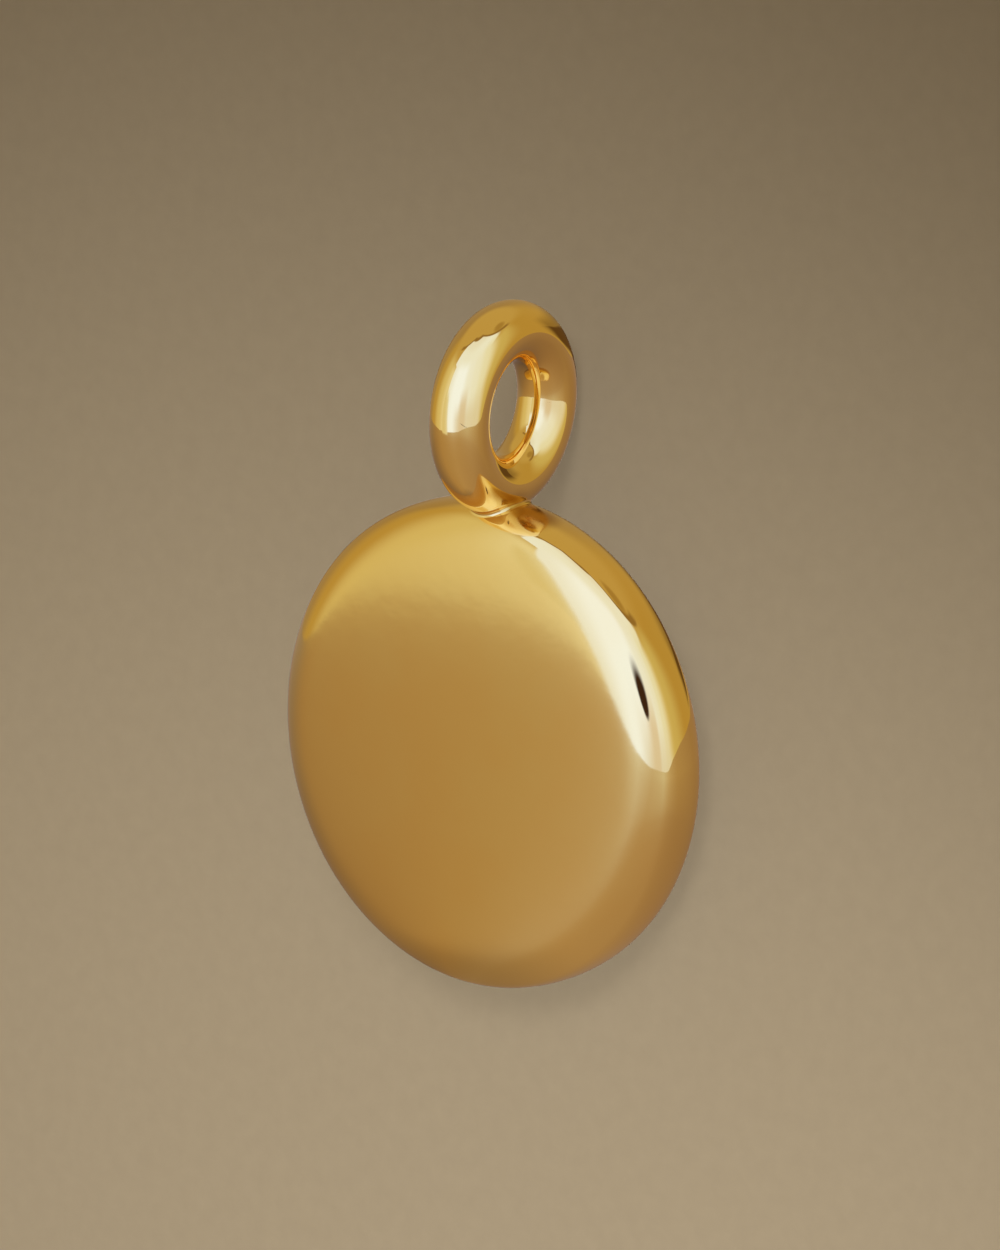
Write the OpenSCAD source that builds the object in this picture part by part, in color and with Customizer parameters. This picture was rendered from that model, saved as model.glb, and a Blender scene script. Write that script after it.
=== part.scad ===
// Coin pendant: a thick blank disc with softly domed faces and a rounded rim, and a ring of round wire soldered to its
// edge, with the ring's plane a few degrees off square to the faces. The metal is soldered, so it is one solid.
// Units are millimetres. The pendant lies on its back, as it does by itself: the coin's lower shoulder and the ring both
// touch the floor, so the coin leans a few degrees, higher at the ring. The ring points to +Y, its hole runs nearly along
// X, and the front face looks up. The origin is on the floor, under the middle of the whole.

/* [Coin] */
// Diameter of the coin across its rim
coin_d = 10; // [9.8:0.1:10.3]
// Thickness of the coin between the crowns of its two faces
coin_t = 2.16; // [2.14:0.02:2.24]
// Radius of the dome of each face
dome_r = 55; // [50:1:65]
// Radius of the rounded shoulder between a face and the rim
shoulder_r = 0.86; // [0.8:0.01:0.87]
// Radius of the crown across the rim
rim_r = 2.8; // [2.6:0.1:3.4]

/* [Ring] */
// Radius of the ring's round wire
wire_r = 0.6; // [0.58:0.005:0.64]
// Radius from the middle of the hole to the middle of the wire
ring_r = 1.55; // [1.5:0.01:1.64]
// Depth to which the ring's outer edge is let into the coin's rim
ring_sink = 0.265; // [0.235:0.005:0.285]
// Turn of the ring about the line to the coin's middle, in degrees: 0 sets it square to the coin's faces
ring_turn = 5.5; // [0:0.5:7]
// Depth of the narrow polished land around the inside of the hole
land_depth = 0.01; // [0.008:0.001:0.015]

/* [Solder joint] */
// Radius of the solder that fills the groove between the ring and the coin's rim
solder_r = 0.56; // [0.54:0.005:0.57]

/* [Hidden] */

function unit(v) = v / norm(v);

coin_r = coin_d / 2;
half_t = coin_t / 2;

// The section is three tangent arcs a side: dome, shoulder and rim crown. A shoulder circle that touches both others from
// inside has its centre where two circles about their centres, each smaller by its own radius, meet.
dome_c = [0, half_t - dome_r];
rim_c = [coin_r - rim_r, 0];
from_dome = dome_r - shoulder_r;
from_rim = rim_r - shoulder_r;
span = norm(rim_c - dome_c);
along = (span * span + from_dome * from_dome - from_rim * from_rim) / (2 * span);
aside = sqrt(from_dome * from_dome - along * along);
toward = unit(rim_c - dome_c);
shoulder_c = dome_c + along * toward + aside * [toward[1], -toward[0]];
// Directions from the shoulder's centre to where it touches the dome and the rim crown
to_dome = unit(shoulder_c - dome_c);
to_rim = unit(shoulder_c - rim_c);
reach = 3 * shoulder_r;

// The ring stands on the rim, and its centre is this far from the coin's
ring_out_r = ring_r + wire_r;
ring_y = coin_r - ring_sink + ring_out_r;
// The turned ring reaches this far below the coin's middle plane
ring_low = ring_r * cos(ring_turn) + wire_r;
hole_r = ring_r - wire_r + land_depth;

// The coin leans until its lower shoulder and the ring are equally low:
// (ring_y + c) sin(lean) + d cos(lean) = ring_low - shoulder_r, where c and d place the shoulder's centre
lean_arm = norm([ring_y + shoulder_c[0], shoulder_c[1]]);
lean = asin((ring_low - shoulder_r) / lean_arm) - atan2(shoulder_c[1], ring_y + shoulder_c[0]);
floor_z = shoulder_c[0] * sin(lean) + shoulder_c[1] * cos(lean) + shoulder_r;
// The outermost point toward -Y is on the shoulder, or on the rim crown where that reaches round far enough
near_y = atan2(to_rim[1], to_rim[0]) < lean
    ? -(shoulder_c[0] * cos(lean) + shoulder_c[1] * sin(lean) + shoulder_r)
    : -(rim_c[0] * cos(lean) + rim_r);
far_y = ring_y * cos(lean) + ring_out_r;

// Corner outside the shoulder's two touching points, which the shoulder circle rounds off
module corner_wedge() {
    polygon([shoulder_c, shoulder_c + reach * to_dome, shoulder_c + reach * (to_dome + to_rim),
        shoulder_c + reach * to_rim]);
}

// Half section of the coin: x runs out from its axis and y through its thickness
module coin_section() {
    difference() {
        intersection() {
            translate(dome_c) circle(r = dome_r, $fn = 1440);
            mirror([0, 1]) translate(dome_c) circle(r = dome_r, $fn = 1440);
            union() {
                translate(rim_c) circle(r = rim_r, $fn = 240);
                translate([0, -coin_t]) square([rim_c[0], 2 * coin_t]);
            }
            translate([0, -coin_t]) square([coin_d, 2 * coin_t]);
        }
        corner_wedge();
        mirror([0, 1]) corner_wedge();
    }
    for (side = [0, 1])
        mirror([0, side])
            intersection() {
                translate(shoulder_c) circle(r = shoulder_r, $fn = 144);
                corner_wedge();
            }
}

module coin() {
    rotate_extrude($fn = 180) coin_section();
}

module bail_ring() {
    translate([0, ring_y, 0])
        rotate([0, 90 + ring_turn, 0])
            rotate_extrude($fn = 120)
                translate([ring_r, 0]) circle(r = wire_r, $fn = 72);
}

// Round neck of solder in the groove between the ring and the rim: it starts in the coin and ends inside the wire
module solder_joint() {
    translate([0, coin_r - 2 * wire_r, 0])
        rotate([-90, 0, 0]) cylinder(r = solder_r, h = 2.4 * wire_r, $fn = 96);
}

// The ring with the neck of solder under it, and the narrow land bored round the inside of its hole
module bail_on_solder() {
    difference() {
        union() {
            solder_joint();
            bail_ring();
        }
        translate([0, ring_y, 0])
            rotate([0, 90 + ring_turn, 0])
                cylinder(r = hole_r, h = 2 * wire_r, center = true, $fn = 96);
    }
}

// The soldered whole, before it is laid down: the coin lies in the XY plane about the origin
module soldered() {
    union() {
        coin();
        bail_on_solder();
    }
}

module pendant() {
    color([0.93, 0.72, 0.33])
        translate([0, -(near_y + far_y) / 2, floor_z])
            rotate([lean, 0, 0])
                soldered();
}

pendant();
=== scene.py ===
import math

import bpy
import numpy as np
from mathutils import Matrix, Vector


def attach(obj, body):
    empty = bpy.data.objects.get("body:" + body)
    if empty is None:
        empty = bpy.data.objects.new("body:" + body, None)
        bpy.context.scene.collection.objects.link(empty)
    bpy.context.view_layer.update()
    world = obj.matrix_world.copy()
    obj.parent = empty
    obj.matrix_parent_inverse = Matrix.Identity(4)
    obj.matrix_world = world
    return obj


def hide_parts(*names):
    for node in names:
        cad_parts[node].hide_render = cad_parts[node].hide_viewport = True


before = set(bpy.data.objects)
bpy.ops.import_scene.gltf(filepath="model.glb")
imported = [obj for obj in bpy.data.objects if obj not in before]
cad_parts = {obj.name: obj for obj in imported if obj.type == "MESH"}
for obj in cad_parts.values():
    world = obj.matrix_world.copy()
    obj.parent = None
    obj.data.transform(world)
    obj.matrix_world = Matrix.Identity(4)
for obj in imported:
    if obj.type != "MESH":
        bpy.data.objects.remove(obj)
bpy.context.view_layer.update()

MM = 0.001

# ------------------------------------------------------------------------------------------------ the pendant's sizes
COIN_R = 5.0            # coin's radius at the rim
HALF_T = 1.08           # half of the coin's thickness at the crown
WIRE_R = 0.6            # radius of the ring's wire
RING_R = 1.55           # middle of the hole to the middle of the wire
RING_SINK = 0.265       # how deep the ring is let into the rim
RING_TURN = math.radians(5.5)   # the ring's turn about the line to the coin's middle
RING_Y = COIN_R - RING_SINK + RING_R + WIRE_R
FILLET_R = 0.07         # the solder's fillet between ring and rim

# How the coin leans on its lower shoulder and its ring (the CAD's own arcs give the place, so the two agree)
DOME_R, SHOULDER_R, RIM_R = 55.0, 0.86, 2.8


def lean_and_place():
    dome = np.array([0.0, HALF_T - DOME_R])
    rim = np.array([COIN_R - RIM_R, 0.0])
    fd, fr = DOME_R - SHOULDER_R, RIM_R - SHOULDER_R
    span = np.linalg.norm(rim - dome)
    along = (span**2 + fd**2 - fr**2) / (2 * span)
    aside = math.sqrt(fd**2 - along**2)
    u = (rim - dome) / span
    c = dome + along * u + aside * np.array([u[1], -u[0]])
    out = RING_R * math.cos(RING_TURN) + WIRE_R      # how low the turned ring reaches
    lean = math.asin((out - SHOULDER_R) / math.hypot(RING_Y + c[0], c[1])) - math.atan2(c[1], RING_Y + c[0])
    z0 = c[0] * math.sin(lean) + c[1] * math.cos(lean) + SHOULDER_R
    near = -(c[0] * math.cos(lean) + c[1] * math.sin(lean) + SHOULDER_R)
    far = RING_Y * math.cos(lean) + RING_R + WIRE_R
    return lean, Vector((0, -(near + far) / 2, z0))


LEAN, PLACE = lean_and_place()
# from the pendant's own axes (x along the ring's hole, y to the ring, z out of the front face; mm) to the world's metres
LAY = Matrix.Translation(PLACE * MM) @ Matrix.Rotation(LEAN, 4, "X") @ Matrix.Scale(MM, 4)

# ------------------------------------------------------------------------------------------------ section of the coin
# Radius of curvature in mm at each tilt of the surface, in degrees from the face's normal: almost flat face, broad
# shoulder, a slightly tighter corner, gently crowned rim. It is scaled to the coin's radius and thickness.
CURVE = [
    # tilt, radius
    (0, 93.0),
    (4, 20.4),
    (8, 3.2),
    (12, 1.5),
    (20, 1.35),
    (32, 1.32),
    (46, 0.65),
    (60, 0.38),
    (75, 0.90),
    (90, 2.35),
]


def hermite(xs, ys, x):
    """Monotone cubic through the points, so the curvature changes smoothly and never overshoots."""
    xs, ys = np.asarray(xs, float), np.asarray(ys, float)
    h = np.diff(xs)
    d = np.diff(ys) / h
    m = np.zeros_like(ys)
    same = d[:-1] * d[1:] > 0
    w1, w2 = 2 * h[1:] + h[:-1], h[1:] + 2 * h[:-1]
    mid = np.zeros_like(d[1:])
    mid[same] = (w1 + w2)[same] / (w1[same] / d[:-1][same] + w2[same] / d[1:][same])
    m[1:-1] = mid
    i = np.clip(np.searchsorted(xs, x) - 1, 0, len(h) - 1)
    t = (x - xs[i]) / h[i]
    return (
        (1 + 2 * t) * (1 - t) ** 2 * ys[i]
        + t * (1 - t) ** 2 * h[i] * m[i]
        + t * t * (3 - 2 * t) * ys[i + 1]
        + t * t * (t - 1) * h[i] * m[i + 1]
    )


def coin_section():
    """Dense table over the quarter section, then its mirror image: arc length, radius, height, tilt (radians)."""
    tilt = np.linspace(0, 90, 18001)
    r = np.exp(hermite([c[0] for c in CURVE], [math.log(c[1]) for c in CURVE], tilt))
    t = np.radians(tilt)
    dt = t[1] - t[0]

    def total(k):
        return np.concatenate([[0], np.cumsum((k[1:] + k[:-1]) / 2 * dt)])

    rho, drop = total(r * np.cos(t)), total(r * np.sin(t))
    rho *= COIN_R / rho[-1]
    drop *= HALF_T / drop[-1]
    tan = np.arctan2(np.gradient(drop), np.gradient(rho))
    tan[0], tan[-1] = 0.0, math.pi / 2
    z = HALF_T - drop
    s = np.concatenate([[0], np.cumsum(np.hypot(np.diff(rho), np.diff(z)))])
    s = np.concatenate([s, 2 * s[-1] - s[-2::-1]])
    rho = np.concatenate([rho, rho[-2::-1]])
    z = np.concatenate([z, -z[-2::-1]])
    tan = np.concatenate([tan, math.pi - tan[-2::-1]])
    return s, rho, z, tan


S, RHO, Z, TILT = coin_section()
S_MID = S[-1] / 2


def coin_at(psi, s):
    """Point and outward normal on the coin: psi turns from +y to +x, s runs along the section from the front's middle."""
    rho, z, t = np.interp(s, S, RHO), np.interp(s, S, Z), np.interp(s, S, TILT)
    p = np.stack([rho * np.sin(psi), rho * np.cos(psi), z], -1)
    n = np.stack([np.sin(t) * np.sin(psi), np.sin(t) * np.cos(psi), np.cos(t)], -1)
    return p, n


RING_AXIS = np.array([math.cos(RING_TURN), 0, -math.sin(RING_TURN)])
RING_FRONT = np.array([math.sin(RING_TURN), 0, math.cos(RING_TURN)])


def ring_at(a, b):
    """Point and normal on the ring: a goes round the ring from its foot toward the front, b round the wire from outside."""
    out = np.sin(a)[..., None] * RING_FRONT - np.cos(a)[..., None] * np.array([0, 1, 0])
    n = np.cos(b)[..., None] * out + np.sin(b)[..., None] * RING_AXIS
    return np.array([0, RING_Y, 0]) + RING_R * out + WIRE_R * n, n


def ring_frame(p):
    """A point's angle round the ring, its distance outward from the wire's middle, and along the hole."""
    up, front = p[..., 1] - RING_Y, p @ RING_FRONT
    return np.arctan2(front, -up), np.hypot(up, front) - RING_R, p @ RING_AXIS


def from_ring(p):
    """Distance of points from the ring's surface."""
    a, out, side = ring_frame(p)
    return np.hypot(out, side) - WIRE_R


# ------------------------------------------------------------------------------------------------ mesh, one closed skin
class Skin:
    def __init__(self):
        self.p, self.n, self.f = [], [], []
        self.count = 0

    def add(self, p, n):
        p, n = np.reshape(p, (-1, 3)), np.reshape(n, (-1, 3))
        first = self.count
        self.p.append(p)
        self.n.append(n)
        self.count += len(p)
        return np.arange(first, self.count)

    def quads(self, a, b, c, d):
        self.f.extend(zip(*(np.ravel(k).tolist() for k in (a, b, c, d))))


def rectangle(nu, nv):
    """Grid corners (i, j) round the edge of an nu by nv patch, one way round."""
    out = [(i, 0) for i in range(nu)] + [(nu, j) for j in range(nv)]
    out += [(i, nv) for i in range(nu, 0, -1)] + [(0, j) for j in range(nv, 0, -1)]
    return out


def build_pendant():
    skin = Skin()
    # ---- coin: a grid round the axis, with a patch left open where the ring stands
    n_psi, patch_psi, patch_s, reach_s = 480, 48, 46, 1.12
    step_s = 2 * reach_s / patch_s
    s_patch0 = S_MID - reach_s
    # cells grow from the patch's size out to the middle of the face
    rows, size, at = [], step_s, s_patch0
    while at > 0.12:
        rows.append(at)
        if S_MID - at > 2.05:
            size = min(size * 1.10, 0.16)
        at -= size
    front = rows[::-1]
    s_rows = np.array(front + [s_patch0 + step_s * k for k in range(1, patch_s)] + [2 * S_MID - k for k in front[::-1]])
    j0 = len(front) - 1
    psi = np.arange(n_psi) * 2 * math.pi / n_psi
    gp, gs = np.meshgrid(psi, s_rows, indexing="ij")
    p, n = coin_at(gp, gs)
    half = patch_psi // 2
    inside = np.zeros(gp.shape, bool)
    for i in range(-half + 1, half):
        inside[i % n_psi, j0 + 1 : j0 + patch_s] = True
    keep = np.full(gp.shape, -1)
    keep[~inside] = skin.add(p[~inside], n[~inside])
    ii, jj = np.meshgrid(np.arange(n_psi), np.arange(len(s_rows) - 1), indexing="ij")
    i2 = (ii + 1) % n_psi
    from_mid = (ii + half) % n_psi
    hole = (from_mid < patch_psi) & (jj >= j0) & (jj < j0 + patch_s)
    ok = ~hole
    skin.quads(keep[ii, jj][ok], keep[ii, jj + 1][ok], keep[i2, jj + 1][ok], keep[i2, jj][ok])
    # middles of the two faces
    for s_end, row, turn in ((0.0, 0, 1), (2 * S_MID, len(s_rows) - 1, -1)):
        cp, cn = coin_at(np.array([0.0]), np.array([s_end]))
        c = skin.add(cp, cn)[0]
        ring_idx = keep[:, row]
        nxt = np.roll(ring_idx, -1)
        for a, b in zip(ring_idx.tolist(), nxt.tolist()):
            skin.f.append((c, a, b) if turn > 0 else (c, b, a))

    # ---- where a ball of the fillet's radius touches both the coin and the ring
    edge = rectangle(patch_psi, patch_s)
    e_psi = np.array([(i - half) * 2 * math.pi / n_psi for i, j in edge])
    e_s = np.array([(j - patch_s / 2) * step_s for i, j in edge])
    way = np.arctan2(e_s, e_psi * COIN_R)
    lo, hi = np.full(len(edge), 0.05), np.full(len(edge), 1.3)

    def ball(t):
        ps, ss = t * np.cos(way) / COIN_R, S_MID + t * np.sin(way)
        q, m = coin_at(ps, ss)
        return ps, ss, q, m, q + FILLET_R * m

    for _ in range(60):
        mid = (lo + hi) / 2
        c = ball(mid)[4]
        far = from_ring(c) > FILLET_R
        hi, lo = np.where(far, mid, hi), np.where(far, lo, mid)
    in_psi, in_s, foot, foot_n, centre = ball((lo + hi) / 2)
    # foot of the fillet on the ring
    a, q, side = ring_frame(centre)
    b = np.arctan2(side, q)
    top, top_n = ring_at(a, b)

    # ---- coin's patch, from the grid's opening in to the fillet's foot
    def patch(outer_idx, outer_uv, inner_uv, at_uv, steps, flip):
        loops = [outer_idx]
        for k in range(1, steps + 1):
            w = 1 - (1 - k / steps) ** 1.35
            u = outer_uv[0] + (inner_uv[0] - outer_uv[0]) * w
            v = outer_uv[1] + (inner_uv[1] - outer_uv[1]) * w
            loops.append(skin.add(*at_uv(u, v)))
        for one, two in zip(loops, loops[1:]):
            o2, t2 = np.roll(one, -1), np.roll(two, -1)
            if flip:
                skin.quads(one, o2, t2, two)
            else:
                skin.quads(one, two, t2, o2)
        return loops[-1]

    outer = np.array([keep[(i - half) % n_psi, j0 + j] for i, j in edge])
    foot_loop = patch(outer, (e_psi, S_MID + e_s), (in_psi, in_s), coin_at, 12, False)

    # ---- ring: a grid with a patch left open at its foot
    n_a, n_b, patch_a, patch_b = 184, 120, 46, 48
    ga, gb = np.meshgrid(np.arange(n_a), np.arange(n_b), indexing="ij")
    a0, b0 = patch_a // 2, patch_b // 2
    # columns are counted from the patch's own corner
    aa, bb = (ga - a0) * 2 * math.pi / n_a, (gb - b0) * 2 * math.pi / n_b
    p, n = ring_at(aa, bb)
    inside = (ga > 0) & (ga < patch_a) & (gb > 0) & (gb < patch_b)
    kr = np.full(ga.shape, -1)
    kr[~inside] = skin.add(p[~inside], n[~inside])
    a2, b2 = (ga + 1) % n_a, (gb + 1) % n_b
    ok = ~((ga < patch_a) & (gb < patch_b))
    skin.quads(kr[ga, gb][ok], kr[a2, gb][ok], kr[a2, b2][ok], kr[ga, b2][ok])
    # the ring's opening, one corner for each of the coin's: x runs with b, the coin's s with -a
    r_edge = [(patch_a - j, i) for i, j in rectangle(patch_b, patch_a)]
    r_outer = np.array([kr[i, j] for i, j in r_edge])
    ra = np.array([(i - a0) * 2 * math.pi / n_a for i, j in r_edge])
    rb = np.array([(j - b0) * 2 * math.pi / n_b for i, j in r_edge])
    top_loop = patch(r_outer, (ra, rb), (a, b), ring_at, 12, True)

    # ---- fillet, an arc of the ball from foot to foot
    u, v = (foot - centre) / FILLET_R, (top - centre) / FILLET_R
    angle = np.arccos(np.clip((u * v).sum(1), -1, 1))[:, None]
    loops, n_arc = [foot_loop], 10
    for k in range(1, n_arc):
        w = k / n_arc
        d = (np.sin((1 - w) * angle) * u + np.sin(w * angle) * v) / np.sin(angle)
        loops.append(skin.add(centre + FILLET_R * d, -d))
    loops.append(top_loop)
    for one, two in zip(loops, loops[1:]):
        skin.quads(one, two, np.roll(two, -1), np.roll(one, -1))
    return skin


def mesh_from(skin, name):
    p, n = np.concatenate(skin.p), np.concatenate(skin.n)
    turn = np.array(Matrix.Rotation(LEAN, 3, "X"))
    place = np.array(PLACE)
    me = bpy.data.meshes.new(name)
    me.from_pydata(((p @ turn.T + place) * MM).tolist(), [], [k[::-1] for k in skin.f])
    me.update()
    me.polygons.foreach_set("use_smooth", [True] * len(me.polygons))
    # where a point lies on the coin or the ring, for the finish
    rho = np.hypot(p[:, 0], p[:, 1])
    zone = me.attributes.new("radius_mm", "FLOAT", "POINT")
    zone.data.foreach_set("value", rho.astype(np.float32))
    me.normals_split_custom_set_from_vertices((n @ turn.T).tolist())
    me.update()
    return me


# ------------------------------------------------------------------------------------------------ node helpers
class Net:
    """Small helper that strings math nodes together."""

    def __init__(self, tree):
        self.t = tree
        self.k = 0

    def node(self, kind, **props):
        n = self.t.nodes.new(kind)
        n.location = (200 * (self.k % 12), -160 * (self.k // 12))
        self.k += 1
        for a, b in props.items():
            setattr(n, a, b)
        return n

    def put(self, socket, value):
        if isinstance(value, bpy.types.NodeSocket):
            self.t.links.new(value, socket)
        elif value is not None:
            socket.default_value = value

    def math(self, op, a, b=None, c=None, clamp=False):
        n = self.node("ShaderNodeMath", operation=op, use_clamp=clamp)
        for s, v in zip(n.inputs, (a, b, c)):
            self.put(s, v)
        return n.outputs[0]

    def dot(self, a, b):
        n = self.node("ShaderNodeVectorMath", operation="DOT_PRODUCT")
        self.put(n.inputs[0], a)
        self.put(n.inputs[1], b)
        return n.outputs["Value"]

    def step(self, x, lo, hi):
        """0 below lo, 1 above hi, smooth between; lo may be the larger."""
        n = self.node("ShaderNodeMapRange", interpolation_type="SMOOTHSTEP")
        self.put(n.inputs["Value"], x)
        if lo <= hi:
            self.put(n.inputs["From Min"], lo)
            self.put(n.inputs["From Max"], hi)
            self.put(n.inputs["To Min"], 0.0)
            self.put(n.inputs["To Max"], 1.0)
        else:
            self.put(n.inputs["From Min"], hi)
            self.put(n.inputs["From Max"], lo)
            self.put(n.inputs["To Min"], 1.0)
            self.put(n.inputs["To Max"], 0.0)
        return n.outputs["Result"]

    def first(self):
        """1 on a path that hasn't left a dull surface yet, else 0: what the metal mirrors doesn't light the floor."""
        depth = self.node("ShaderNodeLightPath").outputs["Diffuse Depth"]
        return self.math("SUBTRACT", 1.0, depth, clamp=True)

    def mix(self, fac, a, b):
        n = self.node("ShaderNodeMix", data_type="RGBA")
        self.put(n.inputs[0], fac)
        for s, v in ((n.inputs[6], a), (n.inputs[7], b)):
            if isinstance(v, (tuple, list)):
                v = (*v, 1.0) if len(v) == 3 else v
            self.put(s, v)
        return n.outputs[2]

    def ramp(self, x, stops, interpolation="EASE"):
        n = self.node("ShaderNodeValToRGB")
        cr = n.color_ramp
        cr.interpolation = interpolation
        while len(cr.elements) > 1:
            cr.elements.remove(cr.elements[-1])
        for k, (at, col) in enumerate(stops):
            e = cr.elements[0] if k == 0 else cr.elements.new(at)
            e.position = at
            e.color = (*col, 1.0)
        self.put(n.inputs[0], x)
        return n.outputs[0]


# ------------------------------------------------------------------------------------------------ polished gold
def gold_material():
    mat = bpy.data.materials.new("polished_gold")
    mat.use_nodes = True
    nt = mat.node_tree
    nt.nodes.clear()
    g = Net(nt)
    out = g.node("ShaderNodeOutputMaterial")
    bsdf = g.node("ShaderNodeBsdfPrincipled")
    nt.links.new(bsdf.outputs[0], out.inputs[0])
    bsdf.inputs["Metallic"].default_value = 1.0
    coord = g.node("ShaderNodeTexCoord").outputs["Object"]
    radius = g.node("ShaderNodeAttribute", attribute_name="radius_mm").outputs["Fac"]
    # the faces keep a softer lustre than the polished shoulder, rim and ring
    soft = g.step(radius, 4.8, 3.9)
    fine = g.node("ShaderNodeTexNoise")
    g.put(fine.inputs["Vector"], coord)
    fine.inputs["Scale"].default_value = 2600.0
    fine.inputs["Detail"].default_value = 3.0
    broad = g.node("ShaderNodeTexNoise")
    g.put(broad.inputs["Vector"], coord)
    broad.inputs["Scale"].default_value = 420.0
    broad.inputs["Detail"].default_value = 2.0
    foot = g.node("ShaderNodeVectorMath", operation="DISTANCE")
    g.put(foot.inputs[0], coord)
    g.put(foot.inputs[1], LAY @ Vector((1.0, COIN_R - 0.14, 0.15)))
    joint = g.step(foot.outputs["Value"], 0.00068, 0.00026)
    rough = g.math("MULTIPLY_ADD", soft, 0.15, 0.035)
    rough = g.math("MULTIPLY_ADD", joint, 0.14, rough)
    rough = g.math("MULTIPLY_ADD", g.math("SUBTRACT", broad.outputs["Fac"], 0.5), 0.02, rough)
    g.put(bsdf.inputs["Roughness"], rough)
    tint = g.mix(g.step(broad.outputs["Fac"], 0.35, 0.65), (1.0, 0.705, 0.245), (1.0, 0.725, 0.262))
    tint = g.mix(g.math("MULTIPLY", joint, 0.9), tint, (0.52, 0.265, 0.055))
    g.put(bsdf.inputs["Base Color"], tint)
    bump = g.node("ShaderNodeBump")
    bump.inputs["Distance"].default_value = 0.000004
    g.put(bump.inputs["Strength"], g.math("MULTIPLY_ADD", soft, 0.5, 0.06))
    g.put(bump.inputs["Height"], fine.outputs["Fac"])
    g.put(bsdf.inputs["Normal"], bump.outputs[0])
    return mat


pendant = bpy.data.objects.new("gold_pendant", mesh_from(build_pendant(), "gold_pendant"))
bpy.context.scene.collection.objects.link(pendant)
pendant.data.materials.append(gold_material())
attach(pendant, "root")
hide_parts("pendant")

# ------------------------------------------------------------------------------------------------ directions
# The studio is laid out about the pendant: "right" along the ring's hole, "front" out of the face, "rise" to the ring.
TURN = Matrix.Rotation(LEAN, 3, "X")
RIGHT = TURN @ Vector((1, 0, 0))
RISE = TURN @ Vector((0, 1, 0))
FRONT = TURN @ Vector((0, 0, 1))


def towards(az, el):
    """Unit vector at az degrees from the front toward the right, and el degrees toward the ring."""
    a, e = math.radians(az), math.radians(el)
    return (math.sin(a) * math.cos(e)) * RIGHT + (math.cos(a) * math.cos(e)) * FRONT + math.sin(e) * RISE


def at(x, rise, front):
    """World place of a point given in the pendant's axes, in mm from the coin's middle."""
    return LAY @ Vector((x, rise, front))


# ------------------------------------------------------------------------------------------------ camera
CAM = dict(az=38.9, el=14.7, roll=2.29, cx=490.2, cy=741.6, d=160.2, f=8000.0)


def camera():
    v = towards(CAM["az"], CAM["el"])
    right = (math.cos(math.radians(CAM["az"]))) * RIGHT - (math.sin(math.radians(CAM["az"]))) * FRONT
    up = v.cross(right)
    r = math.radians(CAM["roll"])
    r2 = math.cos(r) * right + math.sin(r) * up
    u2 = -math.sin(r) * right + math.cos(r) * up
    x = (CAM["cx"] - 500) / CAM["f"] * CAM["d"]
    y = -(CAM["cy"] - 625) / CAM["f"] * CAM["d"]
    place = PLACE * MM + (CAM["d"] * v - x * r2 - y * u2) * MM
    cam = bpy.data.cameras.new("camera")
    cam.sensor_width = 36
    cam.lens = CAM["f"] / 1250 * 36
    cam.clip_start = 0.005
    cam.clip_end = 20
    ob = bpy.data.objects.new("camera", cam)
    m = Matrix((r2, u2, v)).transposed().to_4x4()
    m.translation = place
    ob.matrix_world = m
    bpy.context.scene.collection.objects.link(ob)
    bpy.context.scene.camera = ob
    return v, r2, u2, place


VIEW, CAM_RIGHT, CAM_UP, CAM_PLACE = camera()


# ------------------------------------------------------------------------------------------------ floor
def floor():
    size = 0.6
    me = bpy.data.meshes.new("floor")
    me.from_pydata([(-size, -size, 0), (size, -size, 0), (size, size, 0), (-size, size, 0)], [], [(0, 1, 2, 3)])
    ob = bpy.data.objects.new("floor", me)
    bpy.context.scene.collection.objects.link(ob)
    mat = bpy.data.materials.new("floor")
    mat.use_nodes = True
    nt = mat.node_tree
    nt.nodes.clear()
    g = Net(nt)
    out = g.node("ShaderNodeOutputMaterial")
    bsdf = g.node("ShaderNodeBsdfPrincipled")
    nt.links.new(bsdf.outputs[0], out.inputs[0])
    bsdf.inputs["Roughness"].default_value = 0.9
    bsdf.inputs["Specular IOR Level"].default_value = 0.1
    coord = g.node("ShaderNodeTexCoord").outputs["Object"]
    fibre = g.node("ShaderNodeTexNoise")
    g.put(fibre.inputs["Vector"], coord)
    fibre.inputs["Scale"].default_value = 2500.0
    fibre.inputs["Detail"].default_value = 4.0
    g.put(bsdf.inputs["Base Color"], g.mix(fibre.outputs["Fac"], (0.66, 0.60, 0.50), (0.72, 0.66, 0.55)))
    bump = g.node("ShaderNodeBump")
    bump.inputs["Distance"].default_value = 0.00003
    bump.inputs["Strength"].default_value = 0.4
    g.put(bump.inputs["Height"], fibre.outputs["Fac"])
    g.put(bsdf.inputs["Normal"], bump.outputs[0])
    me.materials.append(mat)
    ob.visible_glossy = False
    return ob


floor()


# ------------------------------------------------------------------------------------------------ soft studio
# Polished gold's own colour, which tints all that it mirrors
GOLD = (1.0, 0.715, 0.254)


def shown(*rgb):
    """Light that polished gold mirrors as this display colour."""
    def linear(v):
        v /= 255
        return v / 12.92 if v <= 0.04045 else ((v + 0.055) / 1.055) ** 2.4
    return tuple(linear(v) / k for v, k in zip(rgb, GOLD))


def spot(azimuth):
    """Place of an azimuth on a colour ramp from -180 to 180 degrees."""
    return azimuth / 360 + 0.5


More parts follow.
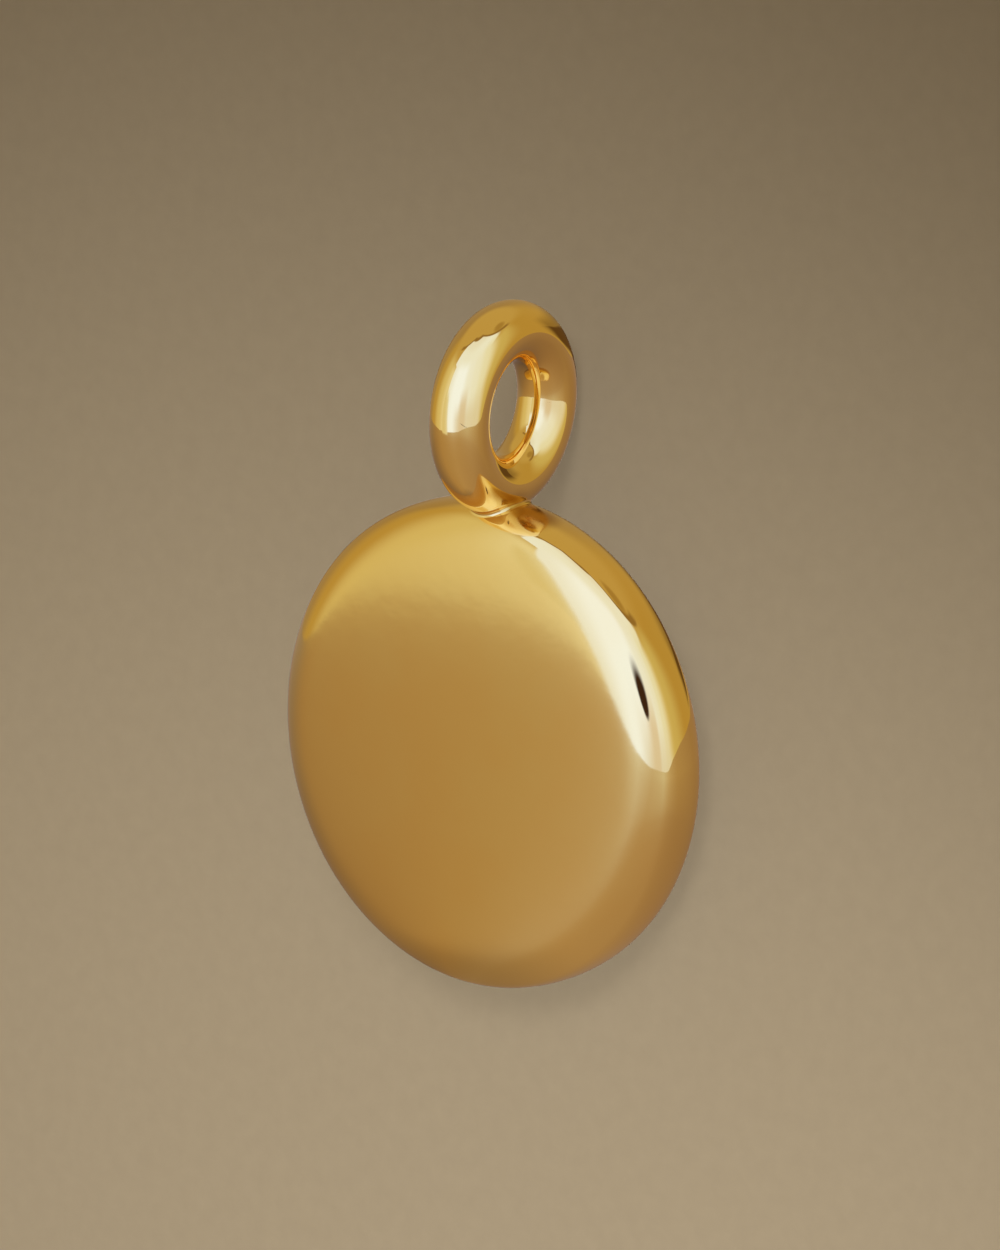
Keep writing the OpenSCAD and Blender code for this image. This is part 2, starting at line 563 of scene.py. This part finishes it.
def studio_world():
    w = bpy.data.worlds.new("studio")
    bpy.context.scene.world = w
    w.use_nodes = True
    nt = w.node_tree
    nt.nodes.clear()
    g = Net(nt)
    out = g.node("ShaderNodeOutputWorld")
    d = g.node("ShaderNodeTexCoord").outputs["Generated"]
    nx, ny, nz = g.dot(d, RIGHT), g.dot(d, FRONT), g.dot(d, RISE)
    az = g.math("MULTIPLY", g.math("ARCTAN2", nx, ny), 180 / math.pi)
    el = g.math("MULTIPLY", g.math("ARCSINE", g.math("MAXIMUM", g.math("MINIMUM", nz, 1.0), -1.0)), 180 / math.pi)
    around = g.math("MULTIPLY_ADD", az, 1 / 360, 0.5)

    # warm walls round the pendant, and a duller ceiling
    wall = g.ramp(around, [
        (spot(-180), shown(182, 136, 50)),
        (spot(-140), shown(160, 120, 55)),
        (spot(-100), shown(160, 120, 54)),
        (spot(-75), shown(184, 138, 50)),
        (spot(-48), shown(212, 178, 93)),
        (spot(-25), shown(227, 200, 127)),
        (spot(110), shown(213, 181, 98)),
        (spot(127), shown(200, 165, 77)),
        (spot(146), shown(180, 133, 46)),
        (spot(179.9), shown(182, 136, 50)),
    ])
    room = g.mix(g.step(el, 34, 50), wall, shown(189, 145, 60))

    def dim(col, azimuth, elevation, inner, outer, strength, colour):
        near = g.dot(d, towards(azimuth, elevation))
        mask = g.step(near, math.cos(math.radians(outer)), math.cos(math.radians(inner)))
        return g.mix(g.math("MULTIPLY", mask, strength), col, colour)

    # dark things low at the left and high at the right
    room = dim(room, -126, -3, 4, 14, 0.7, shown(130, 90, 32))
    room = dim(room, 133, 58, 3, 10, 0.8, shown(156, 112, 38))

    # big soft panel at the right front, up to overhead: its left edge is sharp and stands out near the top, and its right
    # edge is soft
    notch = g.step(el, 42.4, 43.6)
    slope = g.math("MULTIPLY", g.math("MAXIMUM", g.math("SUBTRACT", el, 58.0), 0.0), 0.5)
    edge = g.math("MULTIPLY_ADD", notch, -9.0, g.math("SUBTRACT", slope, 22.0))
    past = g.math("SUBTRACT", az, edge)
    m_left = g.step(past, -0.8, 0.8)
    high = g.step(el, 40, 46)
    centre = g.math("MULTIPLY_ADD", high, 11.0, g.math("MULTIPLY_ADD", g.step(el, 2, -8), 4.0, 111.0))
    width = g.math("MULTIPLY_ADD", high, -5.0, 11.0)
    m_right = g.step(g.math("DIVIDE", g.math("SUBTRACT", az, centre), width), 1.0, -1.0)
    # its top edge is a dark line, over the pendant and down at both ends
    ends = g.math("MULTIPLY_ADD", g.step(az, -4, -56), -24.0, g.math("MULTIPLY_ADD", g.step(az, 74, 142), -34.0, 76.0))
    over = g.math("SUBTRACT", el, ends)
    line = g.math("MULTIPLY", g.step(over, -1.0, 1.0), g.step(over, 7.0, 4.0))
    line = g.math("MULTIPLY", line, g.math("MULTIPLY", g.step(az, -56, -44), g.step(az, 146, 136)))
    room = g.mix(g.math("MULTIPLY", line, 0.9), room, shown(138, 96, 34))
    panel = g.math("MULTIPLY", g.math("MULTIPLY", m_left, m_right), g.step(over, 1.0, -1.0))
    light = g.ramp(around, [
        (spot(-22), shown(236, 226, 189)),
        (spot(5), shown(245, 240, 214)),
        (spot(28), shown(245, 240, 214)),
        (spot(52), shown(236, 226, 189)),
        (spot(78), shown(234, 222, 178)),
        (spot(100), shown(230, 214, 158)),
    ])
    light = g.mix(g.step(el, 40, 56), light, shown(235, 225, 185))
    light = g.mix(g.step(el, 58, 72), light, shown(230, 216, 172))
    # the faint shape of a stand in front of the panel
    lower = g.math("MULTIPLY", g.step(el, 14, -8), g.step(az, 8, 32))
    light = g.mix(g.math("MULTIPLY", lower, 0.7), light, shown(218, 195, 142))
    stand = g.math("MULTIPLY", g.math("MULTIPLY", g.step(az, 26, 42), g.step(az, 64, 52)), g.step(el, 26, 4))
    light = g.mix(g.math("MULTIPLY", stand, 0.8), light, shown(217, 188, 135))
    bg = g.node("ShaderNodeBackground")
    g.put(bg.inputs["Color"], g.mix(panel, room, light))
    bg.inputs["Strength"].default_value = 1.0
    # what other rays meet: a plain soft room
    plain = g.node("ShaderNodeBackground")
    plain.inputs["Color"].default_value = (0.42, 0.27, 0.09, 1)
    plain.inputs["Strength"].default_value = 0.2
    mixer = g.node("ShaderNodeMixShader")
    g.put(mixer.inputs[0], g.math("MULTIPLY", g.node("ShaderNodeLightPath").outputs["Is Glossy Ray"], g.first()))
    nt.links.new(plain.outputs[0], mixer.inputs[1])
    nt.links.new(bg.outputs[0], mixer.inputs[2])
    nt.links.new(mixer.outputs[0], out.inputs[0])


studio_world()


def reflected_only(ob):
    """Hides a studio card from all rays but those that polished metal mirrors."""
    ob.visible_camera = False
    ob.visible_diffuse = False
    ob.visible_shadow = False
    ob.visible_transmission = False
    ob.visible_volume_scatter = False


def card(name, places, faces, marks):
    """Studio card from places in the pendant's axes; marks are kept as its points' attribute for its colours."""
    me = bpy.data.meshes.new(name)
    me.from_pydata([tuple(at(*p)) for p in places], [], faces)
    where = me.attributes.new("place_mm", "FLOAT_VECTOR", "POINT")
    where.data.foreach_set("vector", np.array(marks, np.float32).ravel())
    ob = bpy.data.objects.new(name, me)
    bpy.context.scene.collection.objects.link(ob)
    mat = bpy.data.materials.new(name)
    mat.use_nodes = True
    mat.node_tree.nodes.clear()
    g = Net(mat.node_tree)
    mark = g.node("ShaderNodeAttribute", attribute_name="place_mm").outputs["Vector"]
    sep = g.node("ShaderNodeSeparateXYZ")
    g.put(sep.inputs[0], mark)
    me.materials.append(mat)
    reflected_only(ob)
    return g, sep.outputs


def glow(g, colour, cover=None):
    """Gives a card its light, and where it covers what is behind it."""
    out = g.node("ShaderNodeOutputMaterial")
    em = g.node("ShaderNodeEmission")
    g.put(em.inputs["Color"], (*colour, 1.0) if isinstance(colour, tuple) else colour)
    g.put(em.inputs["Strength"], g.first())
    if cover is None:
        g.t.links.new(em.outputs[0], out.inputs[0])
        return
    clear = g.node("ShaderNodeBsdfTransparent")
    mixer = g.node("ShaderNodeMixShader")
    g.put(mixer.inputs[0], cover)
    g.t.links.new(clear.outputs[0], mixer.inputs[1])
    g.t.links.new(em.outputs[0], mixer.inputs[2])
    g.t.links.new(mixer.outputs[0], out.inputs[0])


# Sheet of warm paper that the pendant stands over in the photo's layout: by azimuth, how far off its edge is and how much
# that edge curls up, in mm
PAPER_EDGE = [
    (-180, 65, 5.0), (-150, 65, 3.0), (-120, 65, 0.0), (-90, 60, -1.0), (-60, 48, -0.5), (-40, 30, 2.8), (-25, 28, 3.2),
    (-10, 28, 2.7), (5, 30, 2.1), (20, 31, 1.9), (35, 35, 1.1), (65, 50, 0.0), (80, 52, 0.0), (95, 50, 0.6),
    (110, 37, 4.0), (125, 29, 6.0), (145, 36, 7.2), (165, 52, 7.0), (180, 65, 5.0),
]


def paper_card():
    """Paper in front of and round the pendant: the polished metal mirrors it."""
    rise = -COIN_R - 0.02
    az = np.arange(-180, 180, 3.0)
    far = np.interp(az, [k[0] for k in PAPER_EDGE], [k[1] for k in PAPER_EDGE])
    curl = np.interp(az, [k[0] for k in PAPER_EDGE], [k[2] for k in PAPER_EDGE])
    rings = np.array([0.004, 0.02, 0.05, 0.1, 0.16, 0.24, 0.34, 0.46, 0.6, 0.7, 0.8, 0.87, 0.94, 1.0])
    places = [(0.0, rise, 0.0)]
    for w in rings:
        for a, r, c in zip(np.radians(az), far * w, curl * w ** 3):
            places.append((r * math.sin(a), rise + c, r * math.cos(a)))
    m = len(az)
    faces = [(0, 1 + i, 1 + (i + 1) % m) for i in range(m)]
    for k in range(len(rings) - 1):
        for i in range(m):
            j = (i + 1) % m
            faces.append((1 + k * m + i, 1 + (k + 1) * m + i, 1 + (k + 1) * m + j, 1 + k * m + j))
    g, mark = card("paper_card", places, faces, places)
    me = bpy.data.meshes["paper_card"]
    me.normals_split_custom_set_from_vertices([tuple(RISE)] * len(me.vertices))
    x, f = mark["X"], mark["Z"]
    around = g.math("MULTIPLY_ADD", g.math("ARCTAN2", x, f), 0.5 / math.pi, 0.5)
    # its light as seen from above, with a painted shadow of the coin at the back left, and as seen along it, where a
    # painted sheen takes up some of the panel's light
    above = g.ramp(around, [
        (spot(-180), shown(127, 89, 44)),
        # painted shadow of the coin on the paper, at the back left
        (spot(-135), shown(98, 70, 38)),
        (spot(-80), shown(135, 97, 48)),
        (spot(-35), shown(168, 122, 57)),
        (spot(15), shown(174, 130, 66)),
        (spot(80), shown(166, 123, 64)),
        (spot(125), shown(150, 107, 53)),
        (spot(179.9), shown(127, 89, 44)),
    ], "LINEAR")
    level = g.ramp(around, [
        (spot(-180), shown(152, 110, 58)),
        (spot(-135), shown(160, 126, 76)),
        (spot(-85), shown(150, 117, 66)),
        (spot(-60), shown(164, 120, 57)),
        (spot(-30), shown(177, 137, 68)),
        (spot(-14), shown(190, 152, 86)),
        (spot(2), shown(205, 176, 117)),
        (spot(15), shown(211, 187, 132)),
        (spot(38), shown(196, 164, 104)),
        (spot(68), shown(204, 177, 116)),
        (spot(95), shown(191, 155, 90)),
        (spot(118), shown(172, 130, 64)),
        (spot(145), shown(156, 113, 54)),
        (spot(179.9), shown(152, 110, 58)),
    ], "LINEAR")
    steep = g.math("SUBTRACT", 1.0, g.node("ShaderNodeLayerWeight").outputs["Facing"])
    share = g.ramp(steep, [
        (0.10, (1.0,) * 3), (0.156, (1.0,) * 3), (0.208, (0.8,) * 3), (0.276, (0.65,) * 3), (0.342, (0.48,) * 3),
        (0.41, (0.23,) * 3), (0.5, (0.10,) * 3), (0.643, (0.03,) * 3), (0.75, (0.0,) * 3),
    ], "LINEAR")
    col = g.mix(share, above, level)
    r = g.math("SQRT", g.math("ADD", g.math("POWER", x, 2.0), g.math("POWER", f, 2.0)))
    # painted shade: the paper turns darker within about 3.5 mm of the coin's foot, standing for the coin's contact
    # shadow
    col = g.mix(g.math("MULTIPLY", g.step(r, 3.5, 0.5), 0.5), col, shown(100, 70, 36))
    glow(g, col)


def dark_card():
    """Small dark oval close in front of the shoulder, nearly edge-on to the ring."""
    middle = Vector((10.5, 4.35, 10.2))
    along = Vector((0.513, -0.122, 0.849))
    across = Vector((0.824, -0.202, -0.527))
    marks = [(-1.5, -1.5, 0), (1.5, -1.5, 0), (1.5, 1.5, 0), (-1.5, 1.5, 0)]
    places = [tuple(middle + 6.2 * a * along + 1.6 * b * across) for a, b, c in marks]
    g, mark = card("dark_card", places, [(0, 1, 2, 3)], marks)
    r = g.math("SQRT", g.math("ADD", g.math("POWER", mark["X"], 2.0), g.math("POWER", mark["Y"], 2.0)))
    glow(g, shown(60, 35, 15), g.step(r, 1.25, 0.7))


def strip_card():
    """Pale strip by the panel's left edge, so near that the ring sees less of the panel than the coin does."""
    edge = [(2.7, -0.77), (5.0, -1.0), (7.0, -1.2), (9.0, -1.6), (10.5, -2.2), (12.0, -3.0)]
    places, marks, faces = [], [], []
    for rise, x in edge:
        for k in (x + 0.5, x - 1.5, -5.2):
            places.append((k, rise, 11.0))
            marks.append((k - x, rise, k))
    for i in range(len(edge) - 1):
        for j in range(2):
            faces.append((3 * i + j, 3 * i + 3 + j, 3 * i + 4 + j, 3 * i + 1 + j))
    g, mark = card("strip_card", places, faces, marks)
    col = g.mix(g.step(mark["X"], -2.5, 0.2), shown(218, 189, 112), shown(225, 203, 138))
    cover = g.math("MULTIPLY", g.step(mark["X"], 0.8, -0.7), g.step(mark["Z"], -5.2, -4.2))
    cover = g.math("MULTIPLY", cover, g.math("MULTIPLY", g.step(mark["Y"], 2.8, 3.4), g.step(mark["Y"], 12.0, 9.0)))
    glow(g, col, cover)


def band_card(name, spine, low, high, core):
    """Dark band of things in the room along a spine of places; its marks are the way along, and mm above the spine."""
    places, marks, faces = [], [], []
    levels = [low, 0.5 * (low + core), core, 0.5 * (core + high), high]
    for k, (x, rise, f) in enumerate(spine):
        for y in levels:
            places.append((x, rise + y, f))
            marks.append((k / (len(spine) - 1), y, 0))
    n = len(levels)
    for k in range(len(spine) - 1):
        for j in range(n - 1):
            faces.append((n * k + j, n * k + n + j, n * k + n + j + 1, n * k + j + 1))
    g, mark = card(name, places, faces, marks)
    body = g.math("MAXIMUM", g.step(mark["Y"], core * 1.4, core * 0.7), g.math("MULTIPLY", g.step(mark["Y"], high, core), 0.55))
    body = g.math("MULTIPLY", body, g.step(mark["Y"], low, low * 0.65))
    ends = g.math("MULTIPLY", g.step(mark["X"], 0.0, 0.2), g.step(mark["X"], 1.0, 0.9))
    glow(g, shown(84, 50, 13), g.math("MULTIPLY", g.math("MULTIPLY", body, ends), 0.95))


def round_about(x, rise, f, r, azimuth, elevation=0.0):
    a, e = math.radians(azimuth), math.radians(elevation)
    return (x + r * math.sin(a) * math.cos(e), rise + r * math.sin(e), f + r * math.cos(a) * math.cos(e))


paper_card()
dark_card()
strip_card()
band_card("far_band", [round_about(0, rise, 0, 50, a) for a, rise in (
    (154, 8.0), (162, 8.0), (170, 8.0), (179, 7.8), (188, 6.6), (196, 4.2), (204, 0.6), (212, -3.2), (218, -6.0))],
    -5.6, 20.0, 4.2)


def floor_light(name, energy, soft, shadow, way):
    """Soft light on the near part of the floor, which falls off toward the far part."""
    li = bpy.data.lights.new(name, "SPOT")
    li.energy = energy
    li.color = (1.0, 0.887, 0.72)
    li.spot_size = 2 * math.atan(44 / 160)
    li.spot_blend = 1.0
    li.shadow_soft_size = soft
    li.use_shadow = shadow
    ob = bpy.data.objects.new(name, li)
    aim = Vector((-0.002, -0.022, 0.0))
    ob.location = aim + 0.16 * Vector(way).normalized()
    ob.rotation_euler = (aim - ob.location).to_track_quat("-Z", "Y").to_euler()
    bpy.context.scene.collection.objects.link(ob)
    ob.visible_glossy = False
    ob.visible_camera = False


floor_light("floor_light", 0.25, 0.045, True, (0.32, 0.5, 0.8))
floor_light("floor_fill", 0.5, 0.012, False, (0.5, 0.0, 0.866))

scene = bpy.context.scene
scene.view_settings.view_transform = "Standard"
scene.view_settings.look = "None"
scene.view_settings.exposure = 0.0
scene.view_settings.gamma = 1.0
